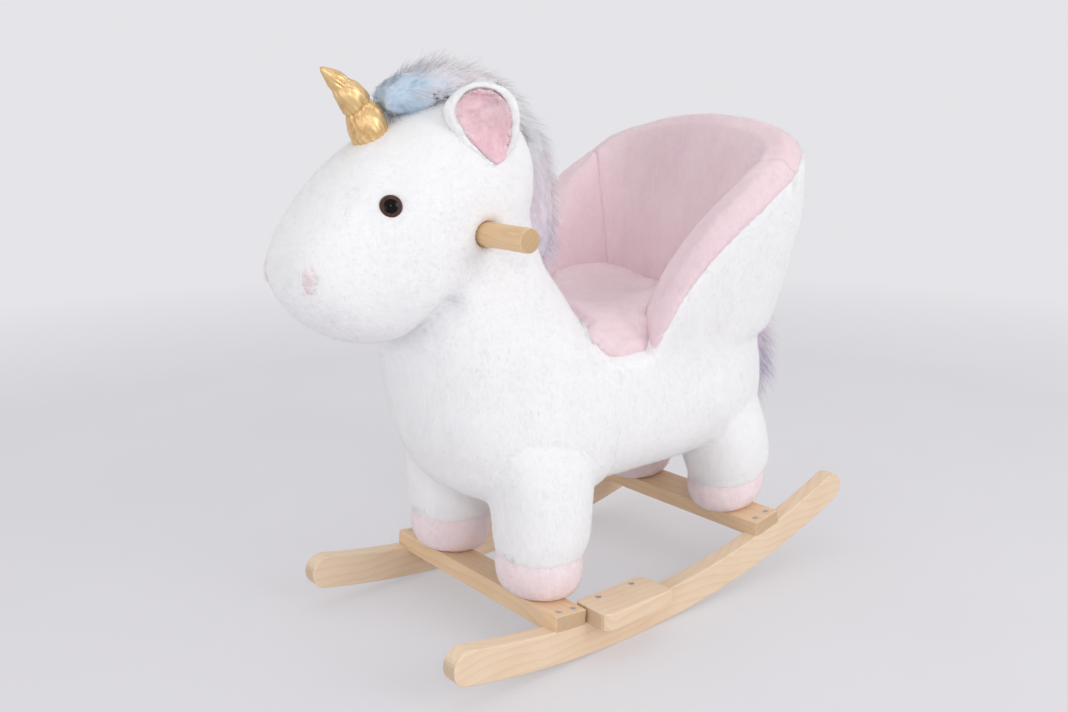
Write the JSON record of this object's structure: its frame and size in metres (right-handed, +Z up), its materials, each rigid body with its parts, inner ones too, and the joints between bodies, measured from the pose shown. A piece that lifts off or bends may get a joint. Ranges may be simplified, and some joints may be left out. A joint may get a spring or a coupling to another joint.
{
  "type": "rocking animal toy",
  "caption": "Stuffed rocking unicorn with a bucket seat, a dowel handle through the neck and legs standing on a wooden rocker frame with footrests.",
  "frame": {"origin": "middle of the bounding box's bottom, on the floor that the rockers stand on", "axes": "+Z up from the floor, -Y is where the animal looks, +X is the animal's left side"},
  "size_m": [0.358, 0.7156, 0.6192],
  "materials": {
    "pine": "satin",
    "plywood": "matte",
    "steel": "satin",
    "white_plush": "matte",
    "pink_plush": "matte",
    "gold_fabric": "satin",
    "pastel_hair": "matte",
    "eye_plastic": "gloss",
    "washer_plastic": "matte"
  },
  "bodies": {
    "root": {"back_board": "plywood", "back_lining": "pink_plush", "footrest_screw_left_aft": "steel", "footrest_screw_left_fore": "steel", "footrest_screw_right_aft": "steel", "footrest_screw_right_fore": "steel", "front_body": "white_plush", "front_left_foot": "pink_plush", "front_left_leg": "white_plush", "front_left_leg_bolt": "steel", "front_left_post": "pine", "front_right_foot": "pink_plush", "front_right_leg": "white_plush", "front_right_leg_bolt": "steel", "front_right_post": "pine", "front_slat": "pine", "front_slat_screw_left_aft": "steel", "front_slat_screw_left_fore": "steel", "front_slat_screw_right_aft": "steel", "front_slat_screw_right_fore": "steel", "handle": "pine", "handle_screw": "steel", "head": "white_plush", "horn": "gold_fabric", "left_ear": "white_plush", "left_ear_lining": "pink_plush", "left_eye": "eye_plastic", "left_eye_washer": "washer_plastic", "left_footrest": "pine", "left_lining": "pink_plush", "left_nostril": "pink_plush", "left_rocker": "pine", "mane": "pastel_hair", "neck_post": "pine", "rear_body": "white_plush", "rear_left_foot": "pink_plush", "rear_left_leg": "white_plush", "rear_left_leg_bolt": "steel", "rear_left_post": "pine", "rear_right_foot": "pink_plush", "rear_right_leg": "white_plush", "rear_right_leg_bolt": "steel", "rear_right_post": "pine", "rear_slat": "pine", "rear_slat_screw_left_aft": "steel", "rear_slat_screw_left_fore": "steel", "rear_slat_screw_right_aft": "steel", "rear_slat_screw_right_fore": "steel", "right_ear": "white_plush", "right_ear_lining": "pink_plush", "right_eye": "eye_plastic", "right_eye_washer": "washer_plastic", "right_footrest": "pine", "right_lining": "pink_plush", "right_nostril": "pink_plush", "right_rocker": "pine", "seat_board": "plywood", "seat_cushion": "pink_plush", "seat_shell": "white_plush", "tail": "pastel_hair"}
  },
  "joints": []
}
